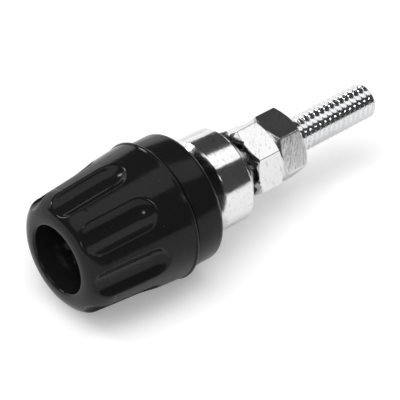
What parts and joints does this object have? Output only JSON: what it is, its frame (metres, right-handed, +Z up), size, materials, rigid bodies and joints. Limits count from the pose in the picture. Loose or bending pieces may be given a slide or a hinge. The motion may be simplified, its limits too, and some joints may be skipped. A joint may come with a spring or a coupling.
{
  "type": "binding post",
  "caption": "Panel-mount binding post: a fluted black screw knob over a 4 mm socket, an insulating collar, a plated base ring and an M4 stud with washers and nuts.",
  "frame": {"origin": "on the post's axis, in the plane of the panel's front surface, where the base ring's rear face seats", "axes": "+Y along the post's axis towards the stud's end, through the panel; -Y towards the knob's opening; +Z up"},
  "size_m": [0.0152, 0.0419, 0.0152],
  "materials": {
    "black_moulding": "glossy black moulded plastic",
    "collar_moulding": "satin black moulded plastic",
    "plated_brass": "bright nickel plating on turned brass",
    "base_plating": "bright nickel plating on a turned brass ring",
    "nut_plating": "bright nickel plating with fine drawing marks",
    "washer_steel": "zinc plated steel",
    "spring_steel": "blackened spring steel",
    "bare_brass": "bare machined brass"
  },
  "bodies": {
    "post_assembly": {"contact_post": "plated_brass", "insulating_collar": "collar_moulding", "base_ring": "base_plating", "flat_washer": "washer_steel", "toothed_washer": "spring_steel", "fixing_nut": "nut_plating", "terminal_nut": "nut_plating", "retaining_ring": "spring_steel"},
    "clamp": {"clamping_washer": "plated_brass"},
    "knob": {"knob_shell": "black_moulding", "knob_insert": "bare_brass"}
  },
  "joints": [
    {"name": "knob_lift", "type": "slide", "parent": "post_assembly", "child": "clamp", "axis": [0, -1, 0], "range_m": [0, 0.003]},
    {"name": "knob_turn", "type": "hinge", "parent": "clamp", "child": "knob", "pos_m": [0, -0.0105, 0], "axis": [0, -1, 0], "range_deg": [0, 1440]}
  ],
  "couplings": [
    {"joint": "knob_turn", "follows": "knob_lift", "rad_per_m": 8377.5}
  ]
}
